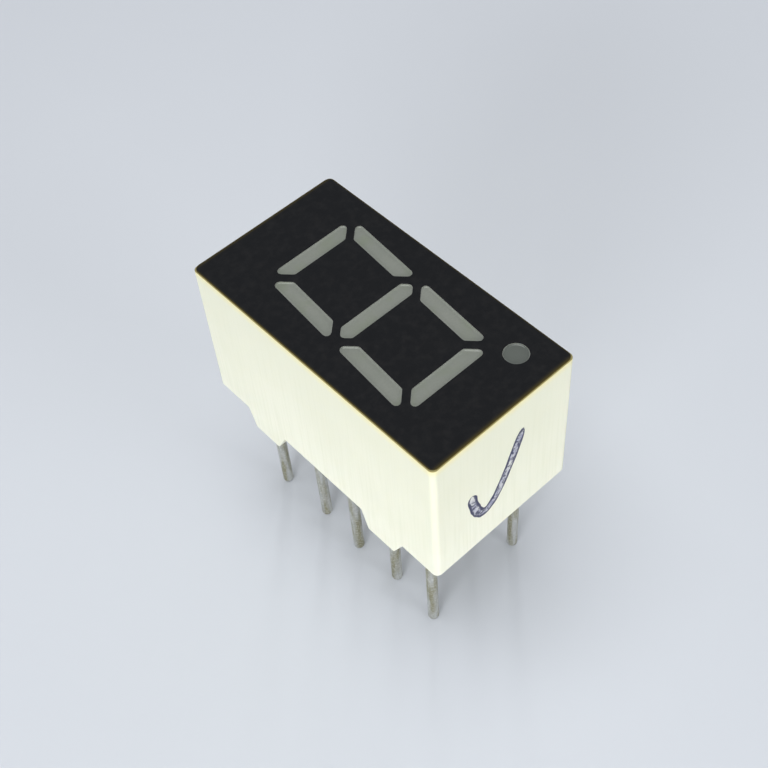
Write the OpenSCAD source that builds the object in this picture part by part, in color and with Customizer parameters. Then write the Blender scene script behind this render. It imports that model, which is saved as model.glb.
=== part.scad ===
// Single-digit LED display with an 8.9 mm digit, a decimal point and ten round pins.
// A white reflector housing carries the black printed face. Eight light wells run through it
// down to a circuit board, and one casting of clear resin fills the wells and seals the back.
// Millimetres, +Z towards the viewer, +Y towards the top of the digit. The origin is the
// centre of the pin pattern, on the plane of the standoffs' tips, where a host board lies.

/* [Housing] */
// Width of the body at its rim
body_w = 7.5; // [7.3:0.1:11]
// Length of the body at its rim
body_l = 14; // [13.6:0.1:20]
// Height of the body from its rim to its face
body_h = 7.5; // [6.2:0.1:12]
// Thickness of the side walls round the board
wall = 0.7; // [0.5:0.05:0.7]
// Mould draft of the sides, in degrees
draft = 0.3; // [0.1:0.1:1]
// Radius of the upright corners at the rim
corner_r = 0.28; // [0.24:0.02:0.6]
// Break of the edge round the face
edge_break = 0.03; // [0.02:0.01:0.12]
// Radius of the upright corners of the board's recess
recess_r = 0.3; // [0.1:0.05:0.5]

/* [Standoffs] */
// Height of the standoffs below the rim
foot_h = 1.15; // [0.5:0.05:2]
// Distance from the body's middle to the middle of a standoff's base
foot_y = 3.71; // [3.5:0.01:3.9]
// Length of a standoff where it meets the rim
foot_base = 2.5; // [2:0.1:3.2]
// Length of a standoff at its tip
foot_tip = 1.55; // [1:0.05:1.8]
// How far a standoff's tip is moved towards the top of the digit
foot_lead = 0.12; // [0:0.01:0.2]
// Rounding of a standoff's lower corners
foot_r = 0.15; // [0.05:0.05:0.3]

/* [Digit] */
// Height of the digit
digit_h = 8.87; // [7.5:0.01:9.6]
// Width of the digit, before it is slanted
digit_w = 4.63; // [4:0.01:5]
// Width of a segment
stroke = 0.7; // [0.58:0.02:0.86]
// Clear width between two segments
segment_gap = 0.39; // [0.3:0.01:0.6]
// Lean of the digit, in degrees
slant = 5; // [0:0.5:10]
// How far inside the outer edge the side gaps meet, at the digit's waist
waist = 0.13; // [0:0.01:0.2]
// Rounding of a segment's corners
tip_r = 0.17; // [0.05:0.01:0.18]
// Place of the digit's centre
digit_at = [0.02, -0.01];
// Diameter of the decimal point
point_d = 1; // [0.8:0.05:1.4]
// Place of the decimal point, from the digit's lower right corner
point_off = [0.31, -0.86];
// Thickness of the black print on the face
ink_t = 0.04; // [0.02:0.01:0.06]
// Pale edge of each opening that the print leaves bare
ink_setback = 0.02; // [0.01:0.01:0.06]
// Pale edge that the print leaves bare round the face
ink_margin = 0.01; // [0.01:0.01:0.1]
// Radius of the print's outer corners
ink_corner = 0.3; // [0.2:0.02:0.8]

/* [Light wells] */
// Straight depth of a window under the face, before its well widens
land = 0.8; // [0.4:0.1:1.5]
// How far a well widens outwards, down to the board
well_out = 0.18; // [0:0.02:0.2]
// How far a well widens inwards, down to the board
well_in = 0.55; // [0.3:0.05:0.6]
// Thickness of the rib between two wells, at the board
rib = 0.54; // [0.44:0.02:0.7]
// Place of the foot of the decimal point's well, from the pin beside it
point_foot_off = [-0.39, -0.42];
// Width of the decimal point's well at the board
point_foot_d = 1.5; // [1.3:0.05:1.5]
// Plastic between a core pocket and the wells
web = 0.35; // [0.3:0.05:0.5]
// Ledge between the end pockets and the recess's side walls
pocket_side = 0.75; // [0.5:0.05:1]
// Ledge between the end pockets and the recess's end walls
pocket_end = 0.15; // [0.1:0.05:0.4]
// Plastic left above the core pockets
pocket_roof = 1.6; // [1:0.1:2.5]
// Draft of the core pockets, from the board to their roof
pocket_draft = 0.22; // [0.1:0.02:0.3]

/* [Circuit board] */
// Thickness of the board
board_t = 0.8; // [0.4:0.1:1.2]
// Clearance between the board's edge and the walls
board_gap = 0.1; // [0.05:0.01:0.2]
// Height of the rests that hold the board off the wells
rest_h = 0.15; // [0.1:0.01:0.25]
// Length of a board rest along the side wall
rest_l = 0.8; // [0.4:0.1:1]
// Width of the board's edge that lies on a rest
rest_lap = 0.15; // [0.1:0.01:0.2]
// Thickness of the copper
copper_t = 0.035; // [0.018:0.001:0.07]
// Width of a track
track_w = 0.2; // [0.15:0.01:0.25]
// Diameter of the copper round a pin
land_d = 0.9; // [0.8:0.02:0.96]
// Clear width between a chip's pad and the copper round a pin
copper_gap = 0.15; // [0.12:0.01:0.2]
// Side of the square pad under a chip
die_pad = 0.5; // [0.4:0.02:0.54]
// Side of the square pad for a bond wire
wire_pad = 0.36; // [0.3:0.02:0.4]
// Distance between the chip's place and its wire's pad
bond_span = 0.57; // [0.5:0.01:0.62]
// Shift of segment a's chip from the digit's middle, clear of the track beside it
chip_a_shift = 0.63; // [0.5:0.01:0.8]
// Shift of the track to segment a's pin, where it turns, from that pin
bend_a_shift = 0.35; // [0.2:0.05:0.5]
// Place of the decimal point's chip, from the pin beside it
chip_dp_off = [-0.74, -0.47];
// Place of the pad for that chip's wire, from the same pin
pad_dp_off = [-0.16, -0.83];

/* [Chips] */
// Side of a light-emitting chip
chip_w = 0.26; // [0.2:0.01:0.34]
// Height of a light-emitting chip
chip_h = 0.18; // [0.1:0.01:0.25]
// Thickness of the silver adhesive under a chip
adhesive_t = 0.02; // [0.01:0.005:0.03]
// Diameter of a spot of silver adhesive
adhesive_d = 0.42; // [0.38:0.01:0.48]
// Diameter of a bond wire
wire_d = 0.03; // [0.02:0.002:0.04]
// Diameter of the ball where a wire leaves its chip
ball_d = 0.09; // [0.06:0.01:0.12]

/* [Resin] */
// Depth of the resin's back surface inside the rim
back_sink = 0.3; // [0.1:0.05:0.5]
// Depth of resin over the back of the board
cover = 0.55; // [0.5:0.05:0.7]
// Depth of the resin's surface below the printed face
window_sink = 0.05; // [0.02:0.01:0.1]

/* [Pins] */
// Distance from pin to pin along a row
pin_pitch = 2.54; // [2.5:0.02:2.6]
// Distance between the two rows
row_pitch = 5.08; // [5:0.02:5.1]
// Diameter of a pin
pin_d = 0.5; // [0.4:0.02:0.56]
// Length of a pin below the standoffs' tips
pin_drop = 6.2; // [2.5:0.1:12]
// Rounding of a pin's tip
pin_tip_r = 0.14; // [0.05:0.01:0.2]
// Width across the corners of the swaged shank in the board
shank_d = 0.58; // [0.58:0.01:0.62]
// Height of the swage, from the standoffs' tips to the full shank
swage_h = 0.95; // [0.7:0.05:1]
// How far the swage's flare stands out past the shank's corners
flare = 0.01; // [0:0.005:0.02]
// Diameter of a pin's hole in the board
hole_d = 0.66; // [0.64:0.01:0.7]
// Length of solder below the board, along a pin
fillet_h = 0.4; // [0.2:0.05:0.45]
// Thickness of solder round the shank, at its end
fillet_t = 0.03; // [0.02:0.01:0.06]
// Ring of bare copper that the solder leaves round itself
fillet_margin = 0.02; // [0.01:0.01:0.05]
// How far a pin stands out of the board, towards the face
pin_proud = 0.1; // [0.05:0.01:0.14]

/* [Hidden] */
SEGMENTS = ["a", "b", "c", "d", "e", "f", "g"];
LAMPS = concat(SEGMENTS, ["dp"]);
PIN_COUNT = 10;
COMMON_PINS = [3, 8];

// A little more than nothing, for cuts that must pass a surface
eps = 0.05;
// Least radius of the corners round the face
least_r = 0.04;

// Levels, from the tips of the standoffs up
rim_z = foot_h;
face_z = rim_z + body_h;
plastic_z = face_z - ink_t;
resin_top_z = face_z - window_sink;
resin_back_z = rim_z + back_sink;
board_z = resin_back_z + cover;
board_top_z = board_z + board_t;
copper_top_z = board_top_z + copper_t;
well_z = board_top_z + rest_h;
land_z = face_z - land;
pocket_top_z = face_z - pocket_roof;
chip_z = copper_top_z + adhesive_t;
chip_top_z = chip_z + chip_h;

// Plan sizes
inner_w = body_w - 2 * wall;
inner_l = body_l - 2 * wall;
board_w = inner_w - 2 * board_gap;
board_l = inner_l - 2 * board_gap;
side_inset = body_h * tan(draft);
face_w = body_w - 2 * (side_inset + edge_break);
face_l = body_l - 2 * (side_inset + edge_break);
face_r = max(corner_r - side_inset - edge_break, least_r);
ink_r = max(ink_corner, face_r);
arc_steps = 4;

// The decimal point's window follows the digit's lower right corner, and its well's foot the
// pin beside it. The many-sided cone between them meets the round window in a small step.
point_at = digit_at + point_off + [(digit_w - digit_h * tan(slant)) / 2, -digit_h / 2];
point_pin = 6;
point_sides = 32;
point_step = 0.02;

// ---- Points and outlines ----

function unit(v) = v / norm(v);

// Corner p between its neighbours, turned into an arc of radius r
function corner_arc(before, p, after, r) =
    let (
        u = unit(before - p),
        v = unit(after - p),
        half = acos(u * v) / 2,
        middle = p + unit(u + v) * r / sin(half),
        first = p + u * r / tan(half) - middle,
        last = p + v * r / tan(half) - middle,
        turn = (first[0] * last[1] - first[1] * last[0] > 0 ? 1 : -1) * (180 - 2 * half)
    )
    [for (k = [0:arc_steps])
        let (t = turn * k / arc_steps)
        middle + [first[0] * cos(t) - first[1] * sin(t), first[0] * sin(t) + first[1] * cos(t)]];

function rounded(points, r) =
    let (n = len(points))
    [for (i = [0:n - 1]) each corner_arc(points[(i + n - 1) % n], points[i], points[(i + 1) % n], r)];

function slanted(points) =
    [for (p = points) [p[0] + p[1] * tan(slant), p[1]] + digit_at];

function mirrored_x(points) = [for (i = [len(points) - 1:-1:0]) [-points[i][0], points[i][1]]];
function mirrored_y(points) = [for (i = [len(points) - 1:-1:0]) [points[i][0], -points[i][1]]];

function ring_at(centre, r, n) =
    [for (i = [0:n - 1]) centre + r * [cos(360 * i / n), sin(360 * i / n)]];

// A segment's upright outline. It grows by "out" at the digit's outer edge and by "in" at its
// inner edges, and "half" is half of the width that its mitred ends leave to the next segment.
function bar_a(out, in, half) =
    let (
        m = half * sqrt(2),
        top = digit_h / 2 + out,
        low = digit_h / 2 - stroke - in,
        far = digit_w / 2 + out - m,
        near = digit_w / 2 - stroke - in - m
    )
    [[-near, low], [near, low], [far, top], [-far, top]];

function bar_b(out, in, half) =
    let (
        m = half * sqrt(2),
        right = digit_w / 2 + out,
        left = digit_w / 2 - stroke - in,
        upper = digit_h / 2 - m
    )
    [
        [left, stroke + in - waist + m],
        [right, m - waist - out],
        [right, upper + out],
        [left, upper - stroke - in]
    ];

function bar_g(in, half) =
    let (
        tip = digit_w / 2 - waist - half * sqrt(2),
        h = stroke / 2 + in
    )
    [[-tip, 0], [h - tip, -h], [tip - h, -h], [tip, 0], [tip - h, h], [h - tip, h]];

function bar(s, out, in, half) =
    s == "a" ? bar_a(out, in, half) :
    s == "b" ? bar_b(out, in, half) :
    s == "c" ? mirrored_y(bar_b(out, in, half)) :
    s == "d" ? mirrored_y(bar_a(out, in, half)) :
    s == "e" ? mirrored_y(mirrored_x(bar_b(out, in, half))) :
    s == "f" ? mirrored_x(bar_b(out, in, half)) :
    bar_g(in, half);

// A window as it shows, grown by g all round
function window(s, g = 0) = slanted(rounded(bar(s, g, g, segment_gap / 2 - g), tip_r + g));

// The foot of a light well, on the board
function well_foot(s) = slanted(rounded(bar(s, well_out, well_in, rib / 2), tip_r));

// ---- Places on the board ----

// Pins 1 to 5 go down the left side and 6 to 10 up the right side, seen from the front
function pin_at(i) =
    i <= PIN_COUNT / 2 ?
    [-row_pitch / 2, (COMMON_PINS[0] - i) * pin_pitch] :
    [row_pitch / 2, (i - COMMON_PINS[1]) * pin_pitch];

// Chips beside the pins stand clear of the pins' copper
side_x = row_pitch / 2 - land_d / 2 - die_pad / 2 - copper_gap;
bar_y = (digit_h - stroke - well_in + well_out) / 2;
a_x = digit_at[0] + chip_a_shift;
a_y = digit_at[1] + bar_y;
d_y = digit_at[1] - bar_y;

function die_at(s) =
    s == "a" ? [a_x, a_y] :
    s == "b" ? [side_x, pin_pitch - bond_span] :
    s == "c" ? [side_x, bond_span - pin_pitch] :
    s == "d" ? [digit_at[0], d_y] :
    s == "e" ? [-side_x, bond_span - pin_pitch] :
    s == "f" ? [-side_x, pin_pitch - bond_span] :
    s == "g" ? [digit_at[0], 0] :
    pin_at(point_pin) + chip_dp_off;

function pad_at(s) =
    s == "a" ? [a_x + bond_span, a_y] :
    s == "b" ? [side_x, pin_pitch] :
    s == "c" ? [side_x, -pin_pitch] :
    s == "d" ? [digit_at[0] - bond_span, d_y] :
    s == "e" ? [-side_x, -pin_pitch] :
    s == "f" ? [-side_x, pin_pitch] :
    s == "g" ? [digit_at[0], bond_span] :
    pin_at(point_pin) + pad_dp_off;

// The track from each wire's pad to its pin
function signal_route(s) =
    s == "a" ? [pad_at("a"), [pin_at(10)[0] - bend_a_shift, a_y], pin_at(10)] :
    s == "b" ? [pad_at("b"), pin_at(9)] :
    s == "c" ? [pad_at("c"), pin_at(7)] :
    s == "d" ? [pad_at("d"), [pad_at("d")[0], pin_at(5)[1]], pin_at(5)] :
    s == "e" ? [pad_at("e"), pin_at(4)] :
    s == "f" ? [pad_at("f"), pin_at(2)] :
    s == "g" ? [pad_at("g"), [pad_at("g")[0], pin_at(1)[1]], pin_at(1)] :
    [pad_at("dp"), pin_at(point_pin)];

// The common net joins all the chips' pads to the middle pin of each row
COMMON_ROUTES = [
    [for (i = COMMON_PINS) pin_at(i)],
    [die_at("f"), [-side_x, 0], die_at("e")],
    [die_at("b"), [side_x, 0], die_at("c")],
    [die_at("b"), [die_at("a")[0], die_at("b")[1]], die_at("a")],
    [die_at("g"), die_at("d"), [digit_at[0], die_at("dp")[1]], die_at("dp")]
];
SIGNAL_PINS = [10, 9, 7, 5, 4, 2, 1, point_pin];

// ---- Shared shapes ----

// A closed solid between two outlines of as many points, at heights z0 and z1
module loft(lower, z0, upper, z1) {
    n = len(lower);
    points = concat(
        [for (p = lower) [p[0], p[1], z0]],
        [for (p = upper) [p[0], p[1], z1]]
    );
    sides = [for (i = [0:n - 1]) let (j = (i + 1) % n) each [[i, n + i, n + j], [i, n + j, j]]];
    polyhedron(points, concat([[for (i = [0:n - 1]) i]], sides, [[for (i = [n - 1:-1:0]) n + i]]));
}

module rounded_plate(w, l, r) {
    square([w - 2 * r, l], center = true);
    square([w, l - 2 * r], center = true);
    for (x = [-1, 1], y = [-1, 1])
        translate([x * (w / 2 - r), y * (l / 2 - r)]) circle(r, $fn = 32);
}

module slab(z0, z1) {
    translate([0, 0, z0]) linear_extrude(z1 - z0) children();
}

// ---- Hollows of the housing, which the resin fills ----

module segment_well(s, top_z) {
    slab(well_z - eps, well_z) polygon(well_foot(s));
    loft(well_foot(s), well_z, window(s), land_z);
    slab(land_z, top_z) polygon(window(s));
}

module point_well(top_z) {
    foot = ring_at(pin_at(point_pin) + point_foot_off, point_foot_d / 2, point_sides);
    slab(well_z - eps, well_z) polygon(foot);
    loft(foot, well_z, ring_at(point_at, point_d / 2 + point_step, point_sides), land_z);
    translate([point_at[0], point_at[1], land_z])
        cylinder(h = top_z - land_z, d = point_d, $fn = 64);
}

// Core pockets: one in each loop of the digit and one beyond each end of it
module core_pocket(x0, x1, y0, y1) {
    d = pocket_draft;
    foot = [[x0, y0], [x1, y0], [x1, y1], [x0, y1]];
    roof = [[x0 + d, y0 + d], [x1 - d, y0 + d], [x1 - d, y1 - d], [x0 + d, y1 - d]];
    slab(well_z - eps, well_z) polygon(foot);
    loft(foot, well_z, roof, pocket_top_z);
}

module core_pockets() {
    loop_x = digit_w / 2 - stroke - well_in - web;
    loop_low = stroke / 2 + well_in + web;
    loop_high = digit_h / 2 - stroke - well_in - web;
    end_y = digit_h / 2 + well_out + web;
    end_x = inner_w / 2 - pocket_side;
    wall_y = inner_l / 2 - pocket_end;
    point_side = pin_at(point_pin)[0] + point_foot_off[0] - point_foot_d / 2 - web;
    for (side = [1, -1]) {
        x = digit_at[0] + side * (loop_low + loop_high) / 2 * tan(slant);
        y0 = digit_at[1] + side * (side > 0 ? loop_low : loop_high);
        core_pocket(x - loop_x, x + loop_x, y0, y0 + loop_high - loop_low);
    }
    core_pocket(-end_x, end_x, digit_at[1] + end_y, wall_y);
    core_pocket(-end_x, point_side, -wall_y, digit_at[1] - end_y);
}

module hollows(back_z, top_z) {
    slab(back_z, well_z) rounded_plate(inner_w, inner_l, recess_r);
    for (s = SEGMENTS) segment_well(s, top_z);
    point_well(top_z);
    core_pockets();
}

module board_rests() {
    for (x = [-1, 1], y = [-1.5, -0.5, 0.5, 1.5])
        translate([x * (inner_w / 2 - (board_gap + rest_lap) / 2), y * pin_pitch, board_top_z + rest_h / 2])
            cube([board_gap + rest_lap, rest_l, rest_h], center = true);
}

// ---- Housing and face ----

module body_block() {
    shoulder = body_h - ink_t - edge_break;
    hull() for (x = [-1, 1], y = [-1, 1]) {
        translate([x * (body_w / 2 - corner_r), y * (body_l / 2 - corner_r), rim_z])
            cylinder(h = shoulder, r1 = corner_r, r2 = corner_r - side_inset, $fn = 32);
        translate([x * (face_w / 2 - face_r), y * (face_l / 2 - face_r), rim_z])
            cylinder(h = shoulder + edge_break, r = face_r, $fn = 32);
    }
}

module standoffs() {
    low = foot_lead - foot_tip / 2;
    high = foot_lead + foot_tip / 2;
    outline = concat(
        [[-foot_base / 2, foot_h]],
        corner_arc([-foot_base / 2, foot_h], [low, 0], [high, 0], foot_r),
        corner_arc([low, 0], [high, 0], [foot_base / 2, foot_h], foot_r),
        [[foot_base / 2, foot_h]]
    );
    for (x = [-1, 1], y = [-foot_y, foot_y])
        translate([x * (body_w / 2 - wall / 2), y, 0])
            rotate([90, 0, 90])
                linear_extrude(wall, center = true) polygon(outline);
}

module reflector_housing() {
    color("#ecebda") {
        difference() {
            body_block();
            hollows(rim_z - eps, face_z + eps);
        }
        standoffs();
        board_rests();
    }
}

module face_ink() {
    color("#232325") difference() {
        slab(plastic_z, face_z)
            rounded_plate(face_w - 2 * ink_margin, face_l - 2 * ink_margin, ink_r);
        for (s = SEGMENTS) slab(plastic_z - eps, face_z + eps) polygon(window(s, ink_setback));
        translate([point_at[0], point_at[1], plastic_z - eps])
            cylinder(h = ink_t + 2 * eps, d = point_d + 2 * ink_setback, $fn = 64);
    }
}

// ---- Circuit board ----

module circuit_board() {
    color("#9c8a4e") difference() {
        slab(board_z, board_top_z) square([board_w, board_l], center = true);
        for (i = [1:PIN_COUNT]) translate([pin_at(i)[0], pin_at(i)[1], board_z - eps])
            cylinder(h = board_t + 2 * eps, d = hole_d, $fn = 48);
    }
}

module track(a, b) {
    step = b - a;
    translate(a) rotate(atan2(step[1], step[0])) translate([0, -track_w / 2])
        square([norm(step), track_w]);
}

module route(points) {
    for (k = [0:len(points) - 2]) track(points[k], points[k + 1]);
    for (p = points) translate(p) circle(d = track_w, $fn = 24);
}

module pin_lands(pins) {
    for (i = pins) translate(pin_at(i)) circle(d = land_d, $fn = 48);
}

module copper_layer(z0) {
    difference() {
        slab(z0, z0 + copper_t) intersection() {
            children();
            square([board_w, board_l], center = true);
        }
        for (i = [1:PIN_COUNT]) translate([pin_at(i)[0], pin_at(i)[1], z0 - eps])
            cylinder(h = copper_t + 2 * eps, d = hole_d, $fn = 48);
    }
}

module component_side_copper() {
    color("#c58f4a") copper_layer(board_top_z) {
        for (r = COMMON_ROUTES) route(r);
        for (s = LAMPS) translate(die_at(s)) square(die_pad, center = true);
        pin_lands(COMMON_PINS);
        for (k = [0:len(LAMPS) - 1]) {
            route(signal_route(LAMPS[k]));
            translate(pad_at(LAMPS[k])) square(wire_pad, center = true);
            pin_lands([SIGNAL_PINS[k]]);
        }
    }
}

module solder_side_lands() {
    color("#c58f4a") copper_layer(board_z - copper_t) pin_lands([1:PIN_COUNT]);
}

// ---- Chips, their adhesive and their wires ----

module led_chip(s) {
    color("#c9b84a") translate([die_at(s)[0], die_at(s)[1], chip_z + chip_h / 2])
        cube([chip_w, chip_w, chip_h], center = true);
}

module die_bond(s) {
    color("#b9bcbd") translate([die_at(s)[0], die_at(s)[1], copper_top_z])
        cylinder(h = adhesive_t, d = adhesive_d, $fn = 32);
}

// A half loop from the ball on the chip over to the pad, then straight down to the copper
module bond_wire(s) {
    span = pad_at(s) - die_at(s);
    reach = norm(span);
    ball_h = ball_d / 3;
    color("#d9b256") translate([die_at(s)[0], die_at(s)[1], chip_top_z])
        rotate(atan2(span[1], span[0])) {
            cylinder(h = ball_h, d = ball_d, $fn = 24);
            translate([reach / 2, 0, ball_h]) rotate([90, 0, 0])
                rotate_extrude(angle = 180, $fn = 48)
                    translate([reach / 2, 0]) circle(d = wire_d, $fn = 16);
            translate([reach, 0, copper_top_z - chip_top_z])
                cylinder(h = chip_top_z - copper_top_z + ball_h, d = wire_d, $fn = 16);
        }
}

// ---- Pins and solder ----

// A round lead with a rounded tip, swaged above the standoffs' plane to an eight-sided shank
module pin_body() {
    r = pin_d / 2;
    rotate_extrude($fn = 48) {
        translate([0, -pin_drop]) square([r - pin_tip_r, pin_tip_r]);
        translate([r - pin_tip_r, pin_tip_r - pin_drop]) intersection() {
            circle(pin_tip_r, $fn = 32);
            translate([0, -pin_tip_r]) square(pin_tip_r);
        }
        translate([0, pin_tip_r - pin_drop]) square([r, pin_drop - pin_tip_r]);
    }
    cylinder(h = swage_h, r1 = r, r2 = shank_d / 2 + flare, $fn = 48);
    translate([0, 0, swage_h - eps])
        cylinder(h = board_top_z + pin_proud - swage_h + eps, d = shank_d, $fn = 8);
}

module pin(i) {
    color("#8f958f") translate(pin_at(i)) pin_body();
}

// Solder fills the pin's hole and tapers along the shank below it, inside the board's edge
module solder_joint(i) {
    edge = (board_w - row_pitch) / 2;
    low_z = board_z - copper_t;
    color("#b3b6b4") translate(pin_at(i)) difference() {
        rotate_extrude($fn = 48) polygon([
            [0, low_z - fillet_h],
            [shank_d / 2 + fillet_t, low_z - fillet_h],
            [min(land_d / 2, edge) - fillet_margin, low_z],
            [hole_d / 2, low_z],
            [hole_d / 2, copper_top_z],
            [0, copper_top_z]
        ]);
        pin_body();
    }
}

// ---- Resin ----

module encapsulant() {
    color("#868982") difference() {
        hollows(resin_back_z, resin_top_z);
        board_rests();
        slab(board_z, board_top_z) square([board_w, board_l], center = true);
        component_side_copper();
        solder_side_lands();
        for (s = LAMPS) {
            led_chip(s);
            die_bond(s);
            bond_wire(s);
        }
        for (i = [1:PIN_COUNT]) {
            pin(i);
            solder_joint(i);
        }
    }
}

reflector_housing();
face_ink();
encapsulant();
circuit_board();
component_side_copper();
solder_side_lands();
for (s = LAMPS) {
    led_chip(s);
    die_bond(s);
    bond_wire(s);
}
for (i = [1:PIN_COUNT]) {
    pin(i);
    solder_joint(i);
}
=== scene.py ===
import math

import bmesh
import bpy
from bpy.props import FloatProperty, FloatVectorProperty, PointerProperty
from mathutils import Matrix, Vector
from mathutils.geometry import interpolate_bezier
from mathutils.noise import noise


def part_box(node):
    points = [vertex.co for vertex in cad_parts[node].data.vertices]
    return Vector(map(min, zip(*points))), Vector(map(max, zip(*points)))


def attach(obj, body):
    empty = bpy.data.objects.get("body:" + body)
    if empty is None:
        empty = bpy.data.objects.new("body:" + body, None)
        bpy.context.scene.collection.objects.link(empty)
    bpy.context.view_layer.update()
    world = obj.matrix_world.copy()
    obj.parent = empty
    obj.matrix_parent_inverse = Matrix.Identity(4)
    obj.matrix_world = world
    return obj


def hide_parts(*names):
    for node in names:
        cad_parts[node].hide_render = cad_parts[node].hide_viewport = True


bl_info = {
    "name": "Seven Segment Display",
    "version": (1, 0, 0),
    "blender": (4, 5, 0),
    "location": "3D View > Sidebar > Display",
    "description": "Finishes a one-digit LED display around its packed frame",
    "category": "Add Mesh",
}

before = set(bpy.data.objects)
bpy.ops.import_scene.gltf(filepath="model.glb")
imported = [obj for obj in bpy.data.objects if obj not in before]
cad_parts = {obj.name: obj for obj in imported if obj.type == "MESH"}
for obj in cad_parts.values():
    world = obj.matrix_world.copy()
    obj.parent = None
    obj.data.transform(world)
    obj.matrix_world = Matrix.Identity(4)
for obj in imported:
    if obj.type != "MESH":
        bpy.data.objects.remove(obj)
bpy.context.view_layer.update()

MM = 0.001
PIN_COUNT = 10
LAMPS = ("a", "b", "c", "d", "e", "f", "g", "dp")

# Points this near are one point, and levels this near are one level
MERGE = 1e-7
LEVEL_GAP = 0.001 * MM

# Faces that meet under FLAT_ANGLE are one flat, edges over SHARP_ANGLE may be rounded, and edges
# over CREASE_ANGLE stay creased in the shading
FLAT_ANGLE = math.radians(0.5)
SHARP_ANGLE = math.radians(30)
CREASE_ANGLE = math.radians(40)

# Corners of the frame's own nodes, the level of the housing's rim, and the draft of its sides
HOUSING_LOW, HOUSING_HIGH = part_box("reflector_housing")
INK_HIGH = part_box("face_ink")[1]
RESIN_LOW, RESIN_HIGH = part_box("encapsulant")
PIN_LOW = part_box("pin_1")[0]
RIM_Z = 1.15 * MM
DRAFT = math.tan(math.radians(0.3))

# What lies this near the housing's outline is on its outside, and its finishes start to fade in
# a little further from it
OUTER_BAND = 0.2 * MM
OUTER_FADE = 0.3 * MM


def linear(code):
    """A colour written as sRGB hex, such as "#ecebda", as linear RGBA."""
    parts = [int(code[k:k + 2], 16) / 255 for k in (1, 3, 5)]
    return (*(c / 12.92 if c <= 0.04045 else ((c + 0.055) / 1.055) ** 2.4 for c in parts), 1.0)


# ---- Sizes and colours that a user would change ----

def length(name, description, size_mm):
    return FloatProperty(name=name, description=description, default=size_mm * MM,
                         min=0, precision=6, subtype="DISTANCE", unit="LENGTH")


def colour(name, description, code):
    return FloatVectorProperty(name=name, description=description, default=linear(code),
                               size=4, min=0, max=1, subtype="COLOR")


class HousingSettings(bpy.types.PropertyGroup):
    edge: length("Edge radius", "Rounding of the rim and the standoffs", 0.04)
    face_edge: length("Face edge radius", "Rounding of the edge round the face", 0.012)
    plastic: colour("Plastic", "Colour of the white polycarbonate", "#f1f1de")
    streak: colour("Streak", "Colour of the faint draw marks", "#e0e2c9")
    # Painted shade: the colour that the sides are painted towards the face, where less light
    # scatters back under the print
    dull: colour("Painted face shade", "Colour that the sides turn towards the face", "#dcddc6")
    lap: colour("Lapped edge", "Colour of the edge under the print's thin film", "#8d8350")
    # Painted glow: the warm line and its depth stand in for light that scatters out of the
    # plastic beside the print
    painted_rim_glow: colour("Painted rim glow", "Colour where light scatters out beside the print", "#ece2a6")
    film: colour("Film", "Colour of the resin's film on the windows' bare edges", "#8d9088")
    painted_glow_depth: length("Painted rim glow depth", "How far the tint reaches down the sides", 0.5)


class InkSettings(bpy.types.PropertyGroup):
    edge: length("Edge radius", "Rounding of the print's edges", 0.012)
    border: length("Thin border", "Width of the border where the print runs thin", 0.2)
    ink: colour("Ink", "Colour of the black print", "#1b1c1e")
    worn: colour("Rubbed ink", "Colour of the print where it is rubbed", "#262627")
    thin: colour("Thin ink", "Colour of the print at its thin border", "#4d4424")


class ResinSettings(bpy.types.PropertyGroup):
    climb_wall: length("Climb at the walls", "How far the back's resin climbs the housing", 0.16)
    climb_pin: length("Climb at the pins", "How far the back's resin climbs each pin", 0.22)
    cell: length("Grid", "Size of a cell of the back's surface", 0.07)
    resin: colour("Resin", "Colour of the diffused resin in the windows", "#81867d")
    haze: colour("Haze", "Colour of the paler clouds in the resin", "#8c8f87")
    moss: colour("Moss", "Colour of the greener clouds in the resin", "#7c8570")
    powder: colour("Powder", "Colour of the diffusing powder's grains", "#7a7d75")
    # Painted shade: the darker colour of the resin over the point's small well, where less light
    # comes back
    shade: colour("Point", "Colour of the resin over the point's well", "#5a5f59")
    back: colour("Back", "Colour of the resin over the board", "#8b8468")


class PinSettings(bpy.types.PropertyGroup):
    tin: colour("Tin", "Colour of the dull tin", "#b8bab7")
    tarnish: colour("Tarnish", "Colour of the tarnish on the tin", "#8e8b70")
    speck: colour("Specks", "Colour of the bright specks in the tin", "#eeeee6")


class TickSettings(bpy.types.PropertyGroup):
    width: length("Line width", "Width of the pen's line", 0.5)
    film: length("Film", "Thickness of the dried ink", 0.006)
    ink: colour("Ink", "Colour of the ink where it gathers", "#23244a")
    thin: colour("Thin ink", "Colour of the ink where it is thin", "#9d9eb6")
    bare: colour("Bare spots", "Colour of the ink where it drew back", "#d6d6d0")


class StageSettings(bpy.types.PropertyGroup):
    floor: colour("Floor", "Colour of the floor", "#d6dbe2")
    pulp: colour("Pulp", "Colour of the faint clouds in the floor", "#d1d6de")
    backdrop: colour("Backdrop", "Colour of the backdrop", "#c9ced6")
    world: FloatProperty(name="World", description="Strength of the even light from all round",
                         default=0.3, min=0, max=4, subtype="FACTOR")
    lens: FloatProperty(name="Lens", description="Focal length in millimetres",
                        default=58.56, min=10, max=300, unit="CAMERA")


# ---- Shared steps for meshes ----

def copy_of(node):
    """A node's mesh as a bmesh, with its loose triangles merged."""
    bm = bmesh.new()
    bm.from_mesh(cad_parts[node].data)
    bmesh.ops.remove_doubles(bm, verts=bm.verts[:], dist=MERGE)
    return bm


def merge_flats(bm):
    bmesh.ops.dissolve_limit(bm, angle_limit=FLAT_ANGLE, use_dissolve_boundaries=False,
                             verts=bm.verts[:], edges=bm.edges[:])


def round_edges(bm, chosen, radius, segments):
    bmesh.ops.bevel(bm, geom=chosen, offset=radius, offset_type="OFFSET", affect="EDGES",
                    segments=segments, profile=0.5, material=-1, clamp_overlap=False)


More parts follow.
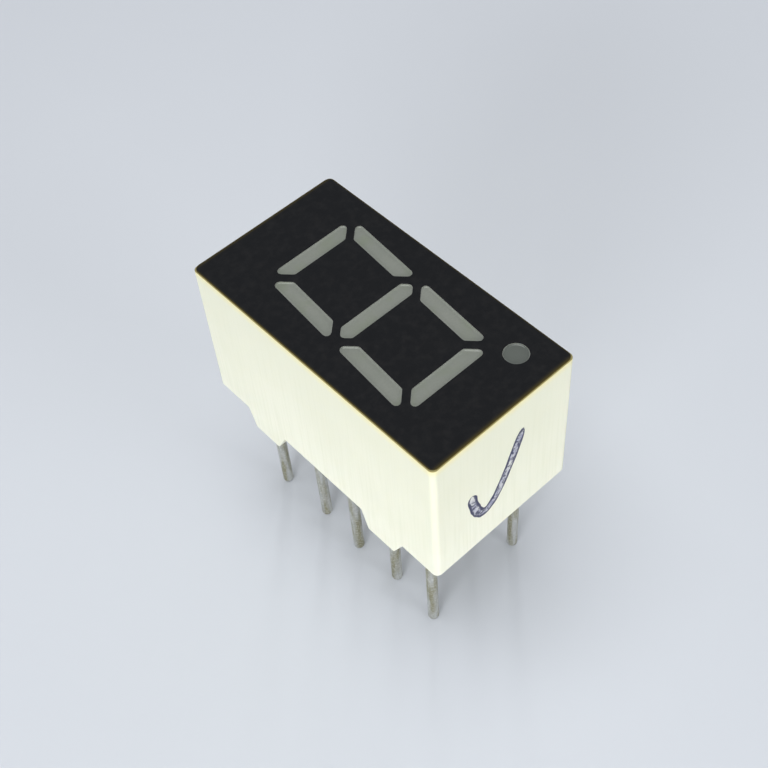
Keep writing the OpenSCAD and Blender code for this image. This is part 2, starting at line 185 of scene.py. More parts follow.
def sharp(edge):
    return len(edge.link_faces) == 2 and edge.calc_face_angle() > SHARP_ANGLE


def middle(edge):
    return (edge.verts[0].co + edge.verts[1].co) / 2


def thicken(bm, shift):
    """Turns an open sheet into a closed film, by pushing a copy of it along shift(vertex)."""
    made = bmesh.ops.extrude_face_region(bm, geom=bm.faces[:])["geom"]
    for vert in made:
        if isinstance(vert, bmesh.types.BMVert):
            vert.co += shift(vert)
    bmesh.ops.recalc_face_normals(bm, faces=bm.faces[:])


def add_piece(bm, name, material, replaced=()):
    """Makes the finished mesh a piece that rides on the display and stands for its nodes."""
    mesh = bpy.data.meshes.new(name)
    bm.to_mesh(mesh)
    bm.free()
    # The node's own normals and sharp marks no longer fit the new shape
    for layer in ("custom_normal", "sharp_face", "sharp_edge"):
        if layer in mesh.attributes:
            mesh.attributes.remove(mesh.attributes[layer])
    mesh.shade_smooth()
    mesh.set_sharp_from_angle(angle=CREASE_ANGLE)
    mesh.materials.clear()
    mesh.materials.append(material)
    piece = bpy.data.objects.new(name, mesh)
    bpy.context.scene.collection.objects.link(piece)
    even = piece.modifiers.new("Even normals", "WEIGHTED_NORMAL")
    even.keep_sharp = True
    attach(piece, "root")
    if replaced:
        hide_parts(*replaced)
    return piece


def finish_nodes(names, material):
    for name in names:
        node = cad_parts[name]
        node.data.materials.clear()
        node.data.materials.append(material)


# ---- Materials ----

def new_material(name):
    material = bpy.data.materials.new(name)
    material.use_nodes = True
    tree = material.node_tree
    tree.nodes.clear()
    return material, tree


def add(tree, kind, inputs=None, **settings):
    """Adds a node with its settings, and sets or links each input by its name or place."""
    node = tree.nodes.new("ShaderNode" + kind)
    for name, value in settings.items():
        setattr(node, name, value)
    for name, value in (inputs or {}).items():
        if isinstance(name, int):
            socket = node.inputs[name]
        else:
            socket = next(s for s in node.inputs if s.enabled and s.name == name)
        if isinstance(value, bpy.types.Node):
            value = next(s for s in value.outputs if s.enabled)
        if isinstance(value, bpy.types.NodeSocket):
            tree.links.new(value, socket)
        else:
            socket.default_value = value
    return node


def finish(tree, inputs):
    shader = add(tree, "BsdfPrincipled", inputs)
    add(tree, "OutputMaterial", {"Surface": shader})


def per(size_mm):
    """A texture's scale for a pattern of that size."""
    return 1 / (size_mm * MM)


def near_outline(tree, at, start, end):
    """Rises from 0 to 1 as a point's distance out from the middle goes from start to end, each
    given across and along the body."""
    sides = add(tree, "VectorMath", {"Vector": at}, operation="ABSOLUTE")
    sides = add(tree, "SeparateXYZ", {"Vector": sides})
    across = add(tree, "MapRange", {"Value": sides.outputs["X"], "From Min": start[0],
                                    "From Max": end[0]})
    along = add(tree, "MapRange", {"Value": sides.outputs["Y"], "From Min": start[1],
                                   "From Max": end[1]})
    return add(tree, "Math", {0: across, 1: along}, operation="MAXIMUM")


def seen(tree):
    """1 where the backdrop is seen, straight or in a shine, and 0 where it only lights."""
    rays = add(tree, "LightPath").outputs
    shine = add(tree, "Math", {0: rays["Is Camera Ray"], 1: rays["Is Glossy Ray"]},
                operation="MAXIMUM")
    return add(tree, "Math", {0: shine, 1: rays["Is Transmission Ray"]}, operation="MAXIMUM")


def moulded_polycarbonate(settings):
    """White-filled polycarbonate from a fine-spark mould: an even satin with faint upright draw
    marks, with painted shade that darkens the sides towards the print, and a painted glow line
    where the print's border lets light out."""
    material, tree = new_material("White polycarbonate, moulded satin")
    at = add(tree, "TexCoord").outputs["Object"]
    flow = add(tree, "TexNoise", {"Vector": at, "Scale": per(4.0), "Detail": 2.0})
    flow = add(tree, "MapRange", {"Value": flow, "From Min": 0.35, "From Max": 0.65,
                                  "To Max": 0.35})
    # Draw marks are about 0.02 mm apart, drawn here at 0.12 mm so that they show
    upright = add(tree, "Mapping", {"Vector": at, "Scale": (1, 1, 0.03)})
    marks = add(tree, "TexNoise", {"Vector": upright, "Scale": per(0.12), "Detail": 2.0})
    marks = add(tree, "MapRange", {"Value": marks, "From Min": 0.45, "From Max": 0.8,
                                   "To Max": 0.6})
    body = add(tree, "Mix", {"Factor": marks, "A": settings.plastic, "B": settings.streak},
               data_type="RGBA")
    body = add(tree, "Mix", {"Factor": flow, "A": body, "B": settings.streak},
               data_type="RGBA")
    # Painted shade: under the black print less light scatters back, so the sides are painted
    # darker towards the face
    height = add(tree, "SeparateXYZ", {"Vector": at}).outputs["Z"]
    face_shade_paint = add(tree, "MapRange", {"Value": height, "From Min": RIM_Z,
                                    "From Max": HOUSING_HIGH.z, "To Max": 0.8})
    body = add(tree, "Mix", {"Factor": face_shade_paint, "A": body, "B": settings.dull},
               data_type="RGBA")
    # Painted glow: a warm line where light scatters out beside the print, near the top, and only
    # on the outside of the four sides
    outside = near_outline(tree, at, [far - OUTER_FADE for far in HOUSING_HIGH],
                           [far - OUTER_BAND for far in HOUSING_HIGH])
    top = add(tree, "MapRange", {"Value": height,
                                 "From Min": HOUSING_HIGH.z - settings.painted_glow_depth,
                                 "From Max": HOUSING_HIGH.z})
    top = add(tree, "Math", {0: top, 1: 1.6}, operation="POWER")
    glow = add(tree, "Math", {0: outside, 1: top}, operation="MULTIPLY")
    body = add(tree, "Mix", {"Factor": glow, "A": body, "B": settings.painted_rim_glow},
               data_type="RGBA")
    # The print's thin film laps over the broken edge, 0.04 mm down
    lapped = add(tree, "MapRange", {"Value": height,
                                    "From Min": HOUSING_HIGH.z - 0.04 * MM,
                                    "From Max": HOUSING_HIGH.z - 0.02 * MM})
    lapped = add(tree, "Math", {0: outside, 1: lapped}, operation="MULTIPLY")
    body = add(tree, "Mix", {"Factor": lapped, "A": body, "B": settings.lap},
               data_type="RGBA")
    # Inside the print, resin that was wiped off the face leaves its film on the bare edges,
    # 0.1 mm down
    inside = add(tree, "Math", {0: 1.0, 1: outside}, operation="SUBTRACT")
    wiped = add(tree, "MapRange", {"Value": height,
                                   "From Min": HOUSING_HIGH.z - 0.1 * MM,
                                   "From Max": HOUSING_HIGH.z - 0.05 * MM})
    wiped = add(tree, "Math", {0: inside, 1: wiped}, operation="MULTIPLY")
    body = add(tree, "Mix", {"Factor": wiped, "A": body, "B": settings.film},
               data_type="RGBA")
    satin = add(tree, "TexNoise", {"Vector": at, "Scale": per(1.5), "Detail": 3.0})
    satin = add(tree, "MapRange", {"Value": satin, "From Min": 0.3, "From Max": 0.7,
                                   "To Min": 0.38, "To Max": 0.48})
    # The spark grain is about 0.02 mm, drawn here at 0.12 mm so that it shows
    grain = add(tree, "TexNoise", {"Vector": at, "Scale": per(0.12), "Detail": 2.0})
    relief = add(tree, "Bump", {"Height": grain, "Distance": 0.004 * MM, "Strength": 0.5})
    finish(tree, {
        "Base Color": body,
        "Roughness": satin,
        "IOR": 1.585,
        "Subsurface Weight": 0.12,
        "Subsurface Radius": (0.6, 0.5, 0.35),
        "Subsurface Scale": 0.5 * MM,
        "Normal": relief,
    })
    return material


def matt_screen_ink(settings):
    """Screen-printed black ink with a matting agent: a dull, slightly clouded black with a
    fine tooth, brown and thin along its border."""
    material, tree = new_material("Black ink, screen printed matt")
    at = add(tree, "TexCoord").outputs["Object"]
    rubbed = add(tree, "TexNoise", {"Vector": at, "Scale": per(0.35), "Detail": 5.0,
                                    "Roughness": 0.65})
    rubbed = add(tree, "MapRange", {"Value": rubbed, "From Min": 0.45, "From Max": 0.75,
                                    "To Max": 0.75})
    body = add(tree, "Mix", {"Factor": rubbed, "A": settings.ink, "B": settings.worn},
               data_type="RGBA")
    # The thin border is half as wide on the long sides as on the ends
    thin_from = (INK_HIGH.x - settings.border / 2, INK_HIGH.y - settings.border)
    border = near_outline(tree, at, thin_from, INK_HIGH)
    border = add(tree, "Math", {0: border, 1: 2.0}, operation="POWER")
    body = add(tree, "Mix", {"Factor": border, "A": body, "B": settings.thin},
               data_type="RGBA")
    dull = add(tree, "TexNoise", {"Vector": at, "Scale": per(0.5), "Detail": 3.0})
    dull = add(tree, "MapRange", {"Value": dull, "From Min": 0.3, "From Max": 0.7,
                                  "To Min": 0.52, "To Max": 0.66})
    # The matting agent's grains are about 0.01 mm, drawn here at 0.07 mm so that they show
    tooth = add(tree, "TexNoise", {"Vector": at, "Scale": per(0.07), "Detail": 3.0,
                                   "Roughness": 0.7})
    relief = add(tree, "Bump", {"Height": tooth, "Distance": 0.006 * MM, "Strength": 0.45})
    finish(tree, {
        "Base Color": body,
        "Roughness": dull,
        "IOR": 1.5,
        "Specular IOR Level": 0.06,
        "Normal": relief,
    })
    return material


def cast_resin(settings, point):
    """Clear epoxy filled with a diffusing powder, cast in the wells: a cloudy grey with a
    half gloss, speckled by the powder, and painted darker over the point's small well as shade."""
    material, tree = new_material("Diffused epoxy, cast")
    at = add(tree, "TexCoord").outputs["Object"]
    haze = add(tree, "TexNoise", {"Vector": at, "Scale": per(1.6), "Detail": 3.0})
    haze = add(tree, "MapRange", {"Value": haze, "From Min": 0.35, "From Max": 0.7,
                                  "To Max": 0.7})
    body = add(tree, "Mix", {"Factor": haze, "A": settings.resin, "B": settings.haze},
               data_type="RGBA")
    moss = add(tree, "TexNoise", {"Vector": at, "Scale": per(1.1), "Detail": 2.0})
    moss = add(tree, "MapRange", {"Value": moss, "From Min": 0.5, "From Max": 0.7,
                                  "To Max": 0.6})
    body = add(tree, "Mix", {"Factor": moss, "A": body, "B": settings.moss},
               data_type="RGBA")
    # The powder's grains are under 0.02 mm, drawn here at 0.09 mm so that they show
    powder = add(tree, "TexNoise", {"Vector": at, "Scale": per(0.09), "Detail": 2.0})
    powder = add(tree, "MapRange", {"Value": powder, "From Min": 0.4, "From Max": 0.7,
                                    "To Max": 0.3})
    body = add(tree, "Mix", {"Factor": powder, "A": body, "B": settings.powder},
               data_type="RGBA")
    # Painted shade: the point's well is small, so less light comes back from it, and its resin
    # is painted darker
    off = add(tree, "VectorMath", {0: at, 1: point}, operation="DISTANCE").outputs["Value"]
    over = add(tree, "MapRange", {"Value": off, "From Min": 0.9 * MM, "From Max": 0.7 * MM})
    body = add(tree, "Mix", {"Factor": over, "A": body, "B": settings.shade},
               data_type="RGBA")
    gloss = add(tree, "TexNoise", {"Vector": at, "Scale": per(0.6), "Detail": 3.0})
    gloss = add(tree, "MapRange", {"Value": gloss, "From Min": 0.3, "From Max": 0.7,
                                   "To Min": 0.19, "To Max": 0.27})
    ripple = add(tree, "TexNoise", {"Vector": at, "Scale": per(0.15), "Detail": 2.0})
    relief = add(tree, "Bump", {"Height": ripple, "Distance": 0.003 * MM, "Strength": 0.3})
    finish(tree, {"Base Color": body, "Roughness": gloss, "IOR": 1.55, "Normal": relief})
    return material


def poured_resin_back(settings):
    """The same epoxy's free surface over the brown board: glossy, with the board showing
    faintly through."""
    material, tree = new_material("Diffused epoxy, poured over the board")
    at = add(tree, "TexCoord").outputs["Object"]
    haze = add(tree, "TexNoise", {"Vector": at, "Scale": per(2.2), "Detail": 4.0})
    haze = add(tree, "MapRange", {"Value": haze, "From Min": 0.3, "From Max": 0.7})
    body = add(tree, "Mix", {"Factor": haze, "A": settings.back, "B": settings.haze},
               data_type="RGBA")
    gloss = add(tree, "TexNoise", {"Vector": at, "Scale": per(0.9), "Detail": 3.0})
    gloss = add(tree, "MapRange", {"Value": gloss, "From Min": 0.3, "From Max": 0.7,
                                   "To Min": 0.16, "To Max": 0.3})
    ripple = add(tree, "TexNoise", {"Vector": at, "Scale": per(0.5), "Detail": 2.0})
    relief = add(tree, "Bump", {"Height": ripple, "Distance": 0.004 * MM, "Strength": 0.5})
    finish(tree, {"Base Color": body, "Roughness": gloss, "IOR": 1.55, "Normal": relief})
    return material


def tinned_wire(settings):
    """Drawn wire dipped in tin: a dull grey shine with fine lines along it, an olive tarnish in
    long streaks and faint bright specks."""
    material, tree = new_material("Wire, drawn and tinned")
    at = add(tree, "TexCoord").outputs["Object"]
    streaks = add(tree, "Mapping", {"Vector": at, "Scale": (1, 1, 0.12)})
    tarnish = add(tree, "TexNoise", {"Vector": streaks, "Scale": per(0.26), "Detail": 2.0})
    tarnish = add(tree, "MapRange", {"Value": tarnish, "From Min": 0.38, "From Max": 0.62})
    body = add(tree, "Mix", {"Factor": tarnish, "A": settings.tin, "B": settings.tarnish},
               data_type="RGBA")
    specks = add(tree, "TexNoise", {"Vector": at, "Scale": per(0.1), "Detail": 2.0})
    specks = add(tree, "MapRange", {"Value": specks, "From Min": 0.45, "From Max": 0.75,
                                    "To Max": 0.4})
    body = add(tree, "Mix", {"Factor": specks, "A": body, "B": settings.speck},
               data_type="RGBA")
    dull = add(tree, "TexNoise", {"Vector": at, "Scale": per(0.3), "Detail": 3.0})
    dull = add(tree, "MapRange", {"Value": dull, "From Min": 0.3, "From Max": 0.7,
                                  "To Min": 0.4, "To Max": 0.52})
    # Drawing lines are a few thousandths of a millimetre apart, drawn here at 0.05 mm
    drawn = add(tree, "Mapping", {"Vector": at, "Scale": (1, 1, 0.03)})
    lines = add(tree, "TexNoise", {"Vector": drawn, "Scale": per(0.05), "Detail": 2.0})
    relief = add(tree, "Bump", {"Height": lines, "Distance": 0.006 * MM, "Strength": 0.5})
    finish(tree, {"Base Color": body, "Metallic": 0.6, "Roughness": dull, "Normal": relief})
    return material


def pen_ink(settings):
    """Marker ink that drew back from the shiny plastic as it dried: dark along its borders and
    in beads, thin and pale between them."""
    material, tree = new_material("Marker ink, dried")
    across = add(tree, "UVMap", uv_map="stroke")
    across = add(tree, "SeparateXYZ", {"Vector": across})
    across = add(tree, "Math", {0: across.outputs["Y"], 1: 0.5}, operation="SUBTRACT")
    across = add(tree, "Math", {0: across}, operation="ABSOLUTE")
    at = add(tree, "TexCoord").outputs["Object"]
    ragged = add(tree, "TexNoise", {"Vector": at, "Scale": per(0.16), "Detail": 3.0})
    ragged = add(tree, "Math", {0: ragged, 1: 0.5}, operation="MULTIPLY")
    border = add(tree, "Math", {0: across, 1: ragged}, operation="ADD")
    border = add(tree, "MapRange", {"Value": border, "From Min": 0.47, "From Max": 0.57})
    beads = add(tree, "TexNoise", {"Vector": at, "Scale": per(0.3), "Detail": 5.0,
                                   "Roughness": 0.7, "Distortion": 1.5})
    beads = add(tree, "MapRange", {"Value": beads, "From Min": 0.49, "From Max": 0.57})
    dark = add(tree, "Math", {0: border, 1: beads}, operation="MAXIMUM")
    drawn_back = add(tree, "TexNoise", {"Vector": at, "Scale": per(0.5), "Detail": 2.0})
    drawn_back = add(tree, "MapRange", {"Value": drawn_back, "From Min": 0.35,
                                        "From Max": 0.65})
    body = add(tree, "Mix", {"Factor": drawn_back, "A": settings.thin, "B": settings.bare},
               data_type="RGBA")
    body = add(tree, "Mix", {"Factor": dark, "A": body, "B": settings.ink},
               data_type="RGBA")
    finish(tree, {"Base Color": body, "Roughness": 0.42, "IOR": 1.5})
    return material


def glass_epoxy_board():
    """Epoxy laminate on glass cloth: yellow-brown, with the cloth's weave showing."""
    material, tree = new_material("Glass epoxy, laminated")
    at = add(tree, "TexCoord").outputs["Object"]
    # The cloth's threads are about 0.4 mm apart, and a wave node's unit holds about three
    cloth = {"Vector": at, "Scale": per(1.25), "Distortion": 1.0}
    warp = add(tree, "TexWave", cloth, bands_direction="X")
    weft = add(tree, "TexWave", cloth, bands_direction="Y")
    weave = add(tree, "Math", {0: warp.outputs["Fac"], 1: weft.outputs["Fac"]},
                operation="MULTIPLY")
    epoxy, glass = linear("#94854a"), linear("#b0a060")
    body = add(tree, "Mix", {"Factor": weave, "A": epoxy, "B": glass}, data_type="RGBA")
    dull = add(tree, "MapRange", {"Value": weave, "To Min": 0.45, "To Max": 0.6})
    relief = add(tree, "Bump", {"Height": weave, "Distance": 0.01 * MM, "Strength": 0.4})
    finish(tree, {"Base Color": body, "Roughness": dull, "IOR": 1.55, "Normal": relief})
    return material


def bare_metal(name, first, second, size_mm, roughness):
    """A bare metal with its grain as clouds of two near colours."""
    material, tree = new_material(name)
    at = add(tree, "TexCoord").outputs["Object"]
    grain = add(tree, "TexNoise", {"Vector": at, "Scale": per(size_mm), "Detail": 3.0})
    body = add(tree, "Mix", {"Factor": grain, "A": linear(first), "B": linear(second)},
               data_type="RGBA")
    dull = add(tree, "MapRange", {"Value": grain, "From Min": 0.3, "From Max": 0.7,
                                  "To Min": roughness, "To Max": roughness + 0.12})
    relief = add(tree, "Bump", {"Height": grain, "Distance": 0.003 * MM, "Strength": 0.4})
    finish(tree, {"Base Color": body, "Metallic": 1.0, "Roughness": dull, "Normal": relief})
    return material


def diced_crystal():
    """Light-emitting crystal, diced: amber, with sawn sides."""
    material, tree = new_material("Light-emitting crystal, diced")
    at = add(tree, "TexCoord").outputs["Object"]
    sawn = add(tree, "Mapping", {"Vector": at, "Scale": (1, 1, 0.2)})
    cuts = add(tree, "TexNoise", {"Vector": sawn, "Scale": per(0.02), "Detail": 2.0})
    amber, sawn_amber = linear("#c9b84a"), linear("#a8923a")
    body = add(tree, "Mix", {"Factor": cuts, "A": amber, "B": sawn_amber}, data_type="RGBA")
    dull = add(tree, "MapRange", {"Value": cuts, "From Min": 0.3, "From Max": 0.7,
                                  "To Min": 0.25, "To Max": 0.4})
    relief = add(tree, "Bump", {"Height": cuts, "Distance": 0.002 * MM, "Strength": 0.4})
    finish(tree, {"Base Color": body, "Roughness": dull, "IOR": 3.3, "Normal": relief})
    return material


# ---- Operators: one for each piece or group of like pieces ----

class DISPLAY_OT_add_housing(bpy.types.Operator):
    """Round the white moulding's outer edges and give it its plastic"""

    bl_idname = "display.add_housing"
    bl_label = "Reflector housing"

    # The face's own edge lies within this of the top
    FACE_BAND = 0.1 * MM

    def execute(self, context):
        settings = context.scene.display_housing
        bm = copy_of("reflector_housing")
        merge_flats(bm)
        rim, face = [], []
        for edge in bm.edges:
            if not sharp(edge):
                continue
            at = middle(edge)
            outside = (abs(at.x) > HOUSING_HIGH.x - OUTER_BAND
                       or abs(at.y) > HOUSING_HIGH.y - OUTER_BAND)
            if at.z < RIM_Z + MERGE:
                rim.append(edge)
            elif outside and at.z > HOUSING_HIGH.z - self.FACE_BAND:
                face.append(edge)
        if not rim or not face:
            raise RuntimeError("the housing has no outer edges to round")
        round_edges(bm, face, settings.face_edge, 2)
        rim = [edge for edge in rim if edge.is_valid]
        round_edges(bm, rim, settings.edge, 3)
        add_piece(bm, "housing_moulding", moulded_polycarbonate(settings),
                  ["reflector_housing"])
        return {"FINISHED"}


class DISPLAY_OT_add_face_print(bpy.types.Operator):
    """Round the edges of the black print and give it its ink"""

    bl_idname = "display.add_face_print"
    bl_label = "Face print"

    def execute(self, context):
        settings = context.scene.display_ink
        bm = copy_of("face_ink")
        merge_flats(bm)
        top = [e for e in bm.edges if sharp(e) and middle(e).z > INK_HIGH.z - MERGE]
        if not top:
            raise RuntimeError("the print has no edges to round")
        round_edges(bm, top, settings.edge, 2)
        add_piece(bm, "face_print", matt_screen_ink(settings), ["face_ink"])
        return {"FINISHED"}


class DISPLAY_OT_add_resin(bpy.types.Operator):
    """Dish the resin in each window, and pour its surface over the back"""

    bl_idname = "display.add_resin"
    bl_label = "Resin casting"

    # Each ring's width and fall in millimetres, from a window's wall inwards
    DISH = ((0.013, 0.015), (0.02, 0.011), (0.022, 0.005), (0.05, 0.003))
    # The casting's own back is drawn up by this, and the poured surface takes its place
    DRAW_UP = 0.1 * MM
    # The poured surface: its corners' radius, its level and its hidden roof above the casting's
    # back, how far its climbs reach from a wall and from a pin, and its slow waves
    CORNER = 0.3 * MM
    LEVEL = 0.02 * MM
    ROOF = 0.2 * MM
    WALL_REACH = 0.2 * MM
    PIN_REACH = 0.13 * MM
    WAVE = 0.02 * MM
    WAVE_SIZE = 2.2 * MM

    def execute(self, context):
        settings = context.scene.display_resin
        bm = copy_of("encapsulant")
        top = [f for f in bm.faces
               if f.normal.z > 0.99 and f.calc_center_median().z > RESIN_HIGH.z - LEVEL_GAP]
        windows = bmesh.ops.dissolve_faces(bm, faces=top)["region"]
        if len(windows) != len(LAMPS):
            raise RuntimeError(f"{len(windows)} windows were found")
        point = min(windows, key=lambda f: f.calc_area()).calc_center_median()
        for width, fall in self.DISH:
            bmesh.ops.inset_region(bm, faces=windows, thickness=width * MM, depth=-fall * MM,
                                   use_even_offset=True, use_boundary=True)
        for vert in bm.verts:
            if vert.co.z < RESIN_LOW.z + LEVEL_GAP:
                vert.co.z += self.DRAW_UP
        add_piece(bm, "resin_casting", cast_resin(settings, point),
                  ["encapsulant"])
        self.pour_back(settings)
        return {"FINISHED"}

    def pour_back(self, settings):
        """The resin's free surface, which climbs the walls and each pin as it sets."""
        half = RESIN_HIGH.to_2d()
        pins = []
        for i in range(1, PIN_COUNT + 1):
            low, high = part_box(f"pin_{i}")
            pins.append(((low + high) / 2).to_2d())
        pin_r = (high.x - low.x) / 2

        def from_wall(x, y):
            q = Vector((abs(x) - half.x + self.CORNER, abs(y) - half.y + self.CORNER))
            out = Vector((max(q.x, 0), max(q.y, 0))).length
            return self.CORNER - out - min(max(q.x, q.y), 0)

        bm = bmesh.new()
        cells = [round(2 * h / settings.cell) for h in half]
        bmesh.ops.create_grid(bm, x_segments=cells[0], y_segments=cells[1], size=1)
        bmesh.ops.scale(bm, vec=(half.x, half.y, 1), verts=bm.verts[:])
        for vert in bm.verts:
            x, y = vert.co.x, vert.co.y
            fall = settings.climb_wall * math.exp(-max(from_wall(x, y), 0) / self.WALL_REACH)
            near = min((Vector((x, y)) - p).length for p in pins) - pin_r
            fall += settings.climb_pin * math.exp(-max(near, 0) / self.PIN_REACH)
            fall += self.WAVE * noise(vert.co / self.WAVE_SIZE)
            vert.co.z = RESIN_LOW.z + self.LEVEL - fall
        roof = RESIN_LOW.z + self.ROOF
        thicken(bm, lambda vert: Vector((0, 0, roof - vert.co.z)))
        add_piece(bm, "resin_back", poured_resin_back(settings))


class DISPLAY_OT_add_pins(bpy.types.Operator):
    """Give the ten pins their tin, and bend each slightly out of line"""

    bl_idname = "display.add_pins"
    bl_label = "Pins"

    # A bend starts this far inside the resin and runs over this stretch, cut into so many rings
    START = 0.3 * MM
    REACH = 3.2 * MM
    CUTS = 9
    # How far handling has bent each pin across and along the body, in millimetres
    BENDS = ((0.11, 0.01), (0.23, -0.22), (0.09, -0.15), (0.22, -0.1), (0.03, -0.17),
             (0.21, -0.03), (0.1, 0.08), (0.05, -0.1), (0.16, 0.04), (0.08, -0.06))

    def execute(self, context):
        tin = tinned_wire(context.scene.display_pins)
        root = RESIN_LOW.z + self.START
        for i, (across, along) in enumerate(self.BENDS, start=1):
            bm = copy_of(f"pin_{i}")
            for k in range(1, self.CUTS + 1):
                level = root - self.REACH * k / self.CUTS
                bmesh.ops.bisect_plane(bm, geom=bm.verts[:] + bm.edges[:] + bm.faces[:],
                                       plane_co=(0, 0, level), plane_no=(0, 0, 1))
            for vert in bm.verts:
                down = min(max(root - vert.co.z, 0) / self.REACH, 1)
                vert.co += Vector((across, along, 0)) * MM * down * down * (3 - 2 * down)
            add_piece(bm, f"lead_{i}", tin, [f"pin_{i}"])
        return {"FINISHED"}


class DISPLAY_OT_finish_inside(bpy.types.Operator):
    """Give the board, the chips, their wires and the solder their finishes"""

    bl_idname = "display.finish_inside"
    bl_label = "Board, chips and wires"

    def execute(self, context):
        groups = (
            (["circuit_board"], glass_epoxy_board()),
            (["component_side_copper", "solder_side_lands"],
             bare_metal("Copper, etched", "#c58f4a", "#b27a3c", 0.3, 0.3)),
            ([f"led_chip_{s}" for s in LAMPS], diced_crystal()),
            ([f"die_bond_{s}" for s in LAMPS],
             bare_metal("Silver adhesive, cured", "#b9bcbd", "#9fa1a2", 0.05, 0.45)),
            ([f"bond_wire_{s}" for s in LAMPS],
             bare_metal("Gold wire, bonded", "#e0b85a", "#cfa548", 0.05, 0.2)),
            ([f"solder_joint_{i}" for i in range(1, PIN_COUNT + 1)],
             bare_metal("Solder, hand soldered", "#b3b6b4", "#8e9192", 0.08, 0.3)),
        )
        for names, material in groups:
            finish_nodes(names, material)
        return {"FINISHED"}


class DISPLAY_OT_add_tick(bpy.types.Operator):
    """Draw the inspector's tick in pen on the lower end"""

    bl_idname = "display.add_tick"
    bl_label = "Inspection tick"

    # The pen's curve on the end: its two ends and, between them, their handles, as x and z in
    # millimetres, and the cells along and across it
    CURVE = ((-1.8, 5.0), (-1.5, 2.6), (-0.7, 2.1), (0.95, 6.8))
    STEPS = 90
    LANES = 8
    # The share of its length over which each end is rounded, and the share of its width that is
    # left at the tip
    BLUNT = 0.05
    TIP = 0.15
    # The line's width wavers by this share, so many times along it
    WAVER = 0.16
    WAVERS = 14

    def execute(self, context):
        settings = context.scene.display_tick
        curve = [Vector((x, z, 0)) * MM for x, z in self.CURVE]
        path = [p.to_2d() for p in interpolate_bezier(*curve, self.STEPS + 1)]
        bm = bmesh.new()
        bm.loops.layers.uv.new("stroke")
        bmesh.ops.create_grid(bm, x_segments=self.STEPS, y_segments=self.LANES, size=1,
                              calc_uvs=True)
        for vert in bm.verts:
            k = round((vert.co.x + 1) / 2 * self.STEPS)
            ahead = path[min(k + 1, self.STEPS)] - path[max(k - 1, 0)]
            side = Vector((-ahead.y, ahead.x)).normalized()
            t = k / self.STEPS
            blunt = 1 - (1 - min(t, 1 - t, self.BLUNT) / self.BLUNT) ** 2
            half = settings.width / 2 * max(math.sqrt(blunt), self.TIP)
            half *= 1 + self.WAVER * noise(Vector((t * self.WAVERS, vert.co.y, 0)))
            q = path[k] + side * half * vert.co.y
            vert.co = (q.x, HOUSING_LOW.y + (q.y - RIM_Z) * DRAFT, q.y)
        thicken(bm, lambda vert: Vector((0, -settings.film, 0)))
        add_piece(bm, "inspection_tick", pen_ink(settings))
        return {"FINISHED"}


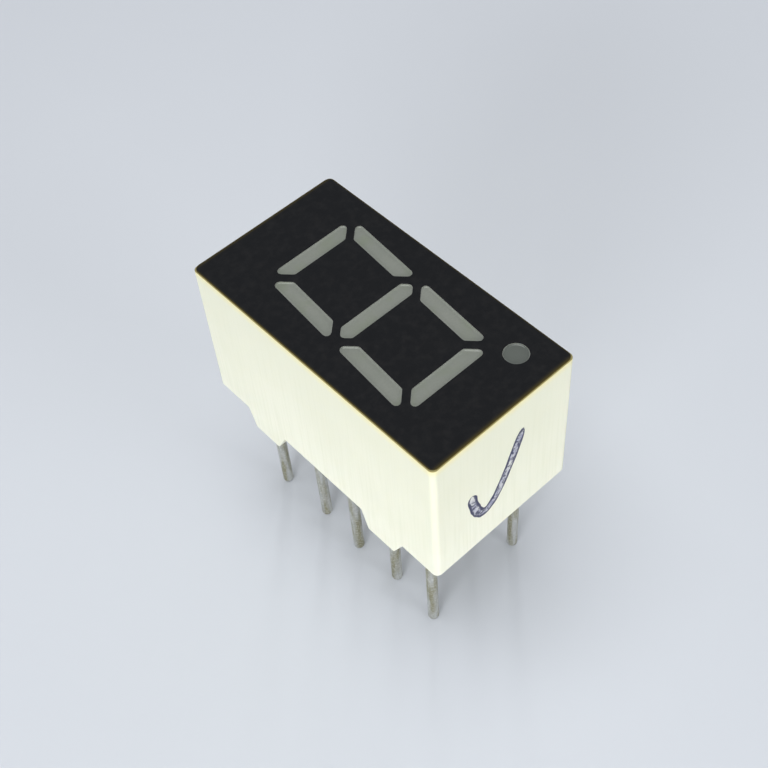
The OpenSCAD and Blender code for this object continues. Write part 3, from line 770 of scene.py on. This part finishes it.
class DISPLAY_OT_set_stage(bpy.types.Operator):
    """Set the floor, the lights and the camera"""

    bl_idname = "display.set_stage"
    bl_label = "Stage"

    # Each lamp's name, direction from the display, distance and side in metres, and watts
    LIGHTS = (
        ("key", (-0.82, -0.42, 0.26), 0.13, 0.06, 0.112),
        ("fill", (0.15, -0.9, 0.2), 0.30, 0.12, 0.276),
        ("top", (-0.15, 0.05, 0.985), 0.30, 0.20, 0.39),
        ("back", (0.68, 0.7, 0.25), 0.30, 0.04, 0.15),
        ("right", (0.95, 0.02, 0.27), 0.30, 0.30, 0.24),
    )
    # The camera's place in millimetres and its turn in degrees
    CAMERA_AT = (-19.706, -24.834, 45.334)
    CAMERA_TURN = (37.319, 3.249, -42.748)
    # Half the floor's side, and where it starts and ends fading into the backdrop
    FLOOR_HALF = 1.5
    FADE_FROM = 35 * MM
    FADE_TO = 80 * MM

    def execute(self, context):
        settings = context.scene.display_stage
        self.lay_floor(settings)
        self.set_world(context.scene, settings)
        self.hang_lights()
        self.set_camera(context.scene, settings)
        context.scene.view_settings.view_transform = "Standard"
        return {"FINISHED"}

    def lay_floor(self, settings):
        material, tree = new_material("Floor, pale paper")
        at = add(tree, "TexCoord").outputs["Object"]
        pulp = add(tree, "TexNoise", {"Vector": at, "Scale": per(30.0), "Detail": 3.0})
        body = add(tree, "Mix", {"Factor": pulp, "A": settings.floor, "B": settings.pulp},
                   data_type="RGBA")
        paper = add(tree, "BsdfPrincipled", {"Base Color": body, "Roughness": 0.85,
                                             "IOR": 1.45})
        # Past the lamps' reach the paper fades into the backdrop
        pale = add(tree, "Emission", {"Color": settings.backdrop})
        off = add(tree, "VectorMath", {0: at}, operation="LENGTH").outputs["Value"]
        far = add(tree, "MapRange", {"Value": off, "From Min": self.FADE_FROM,
                                     "From Max": self.FADE_TO})
        far = add(tree, "Math", {0: far, 1: seen(tree)}, operation="MULTIPLY")
        shade = add(tree, "MixShader", {0: far, 1: paper, 2: pale})
        add(tree, "OutputMaterial", {"Surface": shade})
        bm = bmesh.new()
        bmesh.ops.create_grid(bm, x_segments=1, y_segments=1, size=self.FLOOR_HALF)
        bmesh.ops.translate(bm, vec=(0, 0, PIN_LOW.z), verts=bm.verts[:])
        mesh = bpy.data.meshes.new("floor")
        bm.to_mesh(mesh)
        bm.free()
        mesh.materials.append(material)
        floor = bpy.data.objects.new("floor", mesh)
        bpy.context.scene.collection.objects.link(floor)

    def set_world(self, scene, settings):
        world = bpy.data.worlds.new("Even light")
        world.use_nodes = True
        tree = world.node_tree
        tree.nodes.clear()
        even = add(tree, "Background", {"Color": (1, 1, 1, 1), "Strength": settings.world})
        pale = add(tree, "Background", {"Color": settings.backdrop})
        shade = add(tree, "MixShader", {0: seen(tree), 1: even, 2: pale})
        add(tree, "OutputWorld", {"Surface": shade})
        scene.world = world

    def hang_lights(self):
        for name, direction, distance, side, power in self.LIGHTS:
            light = bpy.data.lights.new(name, "AREA")
            light.shape = "SQUARE"
            light.size = side
            light.energy = power
            lamp = bpy.data.objects.new(name, light)
            # No lamp is seen itself, and a low one would glare in the windows from across the
            # body, so only the top one shows in a shine
            lamp.visible_camera = False
            lamp.visible_glossy = name == "top"
            towards = Vector(direction).normalized()
            lamp.location = towards * distance
            lamp.rotation_euler = towards.to_track_quat("Z", "Y").to_euler()
            bpy.context.scene.collection.objects.link(lamp)

    def set_camera(self, scene, settings):
        data = bpy.data.cameras.new("camera")
        data.lens = settings.lens
        data.sensor_width = 36
        data.clip_start = 0.001
        data.clip_end = 10
        camera = bpy.data.objects.new("camera", data)
        camera.location = Vector(self.CAMERA_AT) * MM
        camera.rotation_euler = [math.radians(angle) for angle in self.CAMERA_TURN]
        scene.collection.objects.link(camera)
        scene.camera = camera


class DISPLAY_PT_panel(bpy.types.Panel):
    """The display's pieces and stage"""

    bl_idname = "DISPLAY_PT_panel"
    bl_label = "Seven Segment Display"
    bl_space_type = "VIEW_3D"
    bl_region_type = "UI"
    bl_category = "Display"

    def draw(self, context):
        for group in SETTINGS:
            box = self.layout.box()
            settings = getattr(context.scene, group)
            for name in settings.__annotations__:
                box.prop(settings, name)
        for operator in OPERATORS:
            self.layout.operator(operator.bl_idname)


SETTINGS = {
    "display_housing": HousingSettings,
    "display_ink": InkSettings,
    "display_resin": ResinSettings,
    "display_pins": PinSettings,
    "display_tick": TickSettings,
    "display_stage": StageSettings,
}
OPERATORS = (
    DISPLAY_OT_add_housing,
    DISPLAY_OT_add_face_print,
    DISPLAY_OT_add_resin,
    DISPLAY_OT_add_pins,
    DISPLAY_OT_finish_inside,
    DISPLAY_OT_add_tick,
    DISPLAY_OT_set_stage,
)


def register():
    for kind in (*SETTINGS.values(), *OPERATORS, DISPLAY_PT_panel):
        bpy.utils.register_class(kind)
    for name, kind in SETTINGS.items():
        setattr(bpy.types.Scene, name, PointerProperty(type=kind))


def unregister():
    for name in SETTINGS:
        delattr(bpy.types.Scene, name)
    for kind in reversed((*SETTINGS.values(), *OPERATORS, DISPLAY_PT_panel)):
        bpy.utils.unregister_class(kind)


def main():
    register()
    bpy.ops.display.add_housing()
    bpy.ops.display.add_face_print()
    bpy.ops.display.add_resin()
    bpy.ops.display.add_pins()
    bpy.ops.display.finish_inside()
    bpy.ops.display.add_tick()
    bpy.ops.display.set_stage()


if __name__ == "__main__":
    main()
